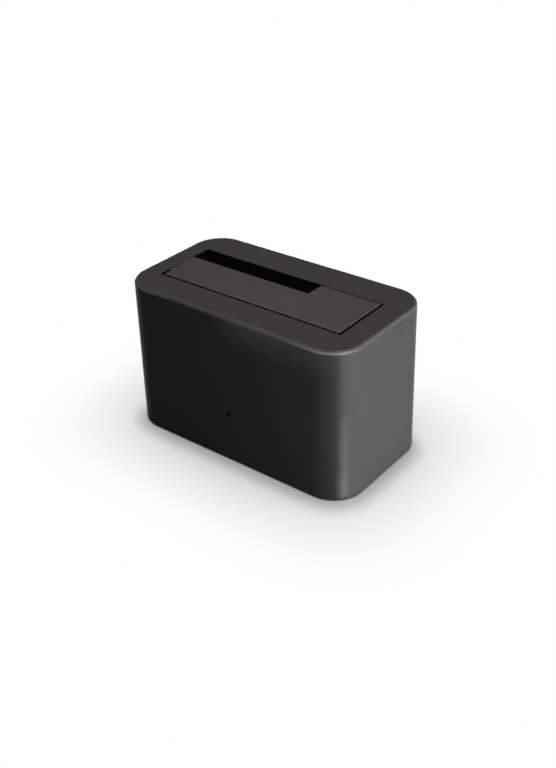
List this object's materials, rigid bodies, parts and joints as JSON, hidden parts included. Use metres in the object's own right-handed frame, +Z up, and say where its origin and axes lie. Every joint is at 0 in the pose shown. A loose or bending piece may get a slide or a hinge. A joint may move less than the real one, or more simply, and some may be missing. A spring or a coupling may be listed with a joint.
{
  "type": "hard drive docking station",
  "caption": "Black desktop dock for a bare hard drive, with a sprung notched flap flush in its top, a connector in the bay below, and ports and a push button on the back.",
  "frame": {"origin": "middle of the dock on the table, at the underside of its feet", "axes": "+X to the right along the long side, the front with the lamp hole faces -Y, +Z up"},
  "size_m": [0.136, 0.0751, 0.0811],
  "materials": {
    "housing_plastic": "satin black, fine texture",
    "flap_plastic": "satin black, a little lighter than the housing",
    "bay_plastic": "matte black",
    "base_plastic": "matte black, fine texture",
    "button_plastic": "satin black",
    "pipe_clear": "clear, smoky",
    "screw_steel": "zinc plated",
    "pin_steel": "bright drawn steel",
    "spring_steel": "bright spring wire",
    "port_steel": "nickel plated sheet",
    "can_steel": "drawn can",
    "can_aluminium": "satin",
    "contact_gold": "gold plated",
    "foot_rubber": "matte black",
    "board_laminate": "green solder mask",
    "connector_plastic": "moulded black",
    "tongue_plastic": "moulded blue",
    "plunger_plastic": "moulded white",
    "chip_plastic": "moulded black",
    "ferrite": "sintered ferrite",
    "ceramic": "fired ceramic, tan",
    "lamp_plastic": "ivory, clear top"
  },
  "bodies": {
    "dock": {"upper_housing": "housing_plastic", "light_pipe": "pipe_clear", "bay_frame": "bay_plastic", "bay_screws": "screw_steel", "hinge_pin": "pin_steel", "flap_springs": "spring_steel", "base_plate": "base_plastic", "base_screws": "screw_steel", "rubber_feet": "foot_rubber", "main_board": "board_laminate", "board_screws": "screw_steel", "sata_connector": "connector_plastic", "sata_contacts": "contact_gold", "usb_shell": "port_steel", "usb_tongue": "tongue_plastic", "usb_contacts": "contact_gold", "jack_body": "connector_plastic", "jack_pin": "pin_steel", "jack_contact": "contact_gold", "switch_body": "connector_plastic", "switch_spring": "spring_steel", "bridge_chip": "chip_plastic", "flash_chip": "chip_plastic", "crystal": "can_steel", "regulators": "chip_plastic", "inductors": "ferrite", "capacitors": "can_aluminium", "ceramic_parts": "ceramic", "status_lamp": "lamp_plastic"},
    "flap": {"flap": "flap_plastic"},
    "button": {"power_button": "button_plastic", "switch_plunger": "plunger_plastic"}
  },
  "joints": [
    {"name": "flap_hinge", "type": "hinge", "parent": "dock", "child": "flap", "pos_m": [0, -0.01685, 0.0766], "axis": [-1, 0, 0], "range_deg": [0, 90], "stiffness_Nm_per_rad": 0.02, "springref_deg": -28.65, "deforming": ["flap_springs"]},
    {"name": "button_press", "type": "slide", "parent": "dock", "child": "button", "axis": [0, -1, 0], "range_m": [0, 0.002], "stiffness_N_per_m": 400, "springref_m": -0.0015, "deforming": ["switch_spring"]}
  ]
}
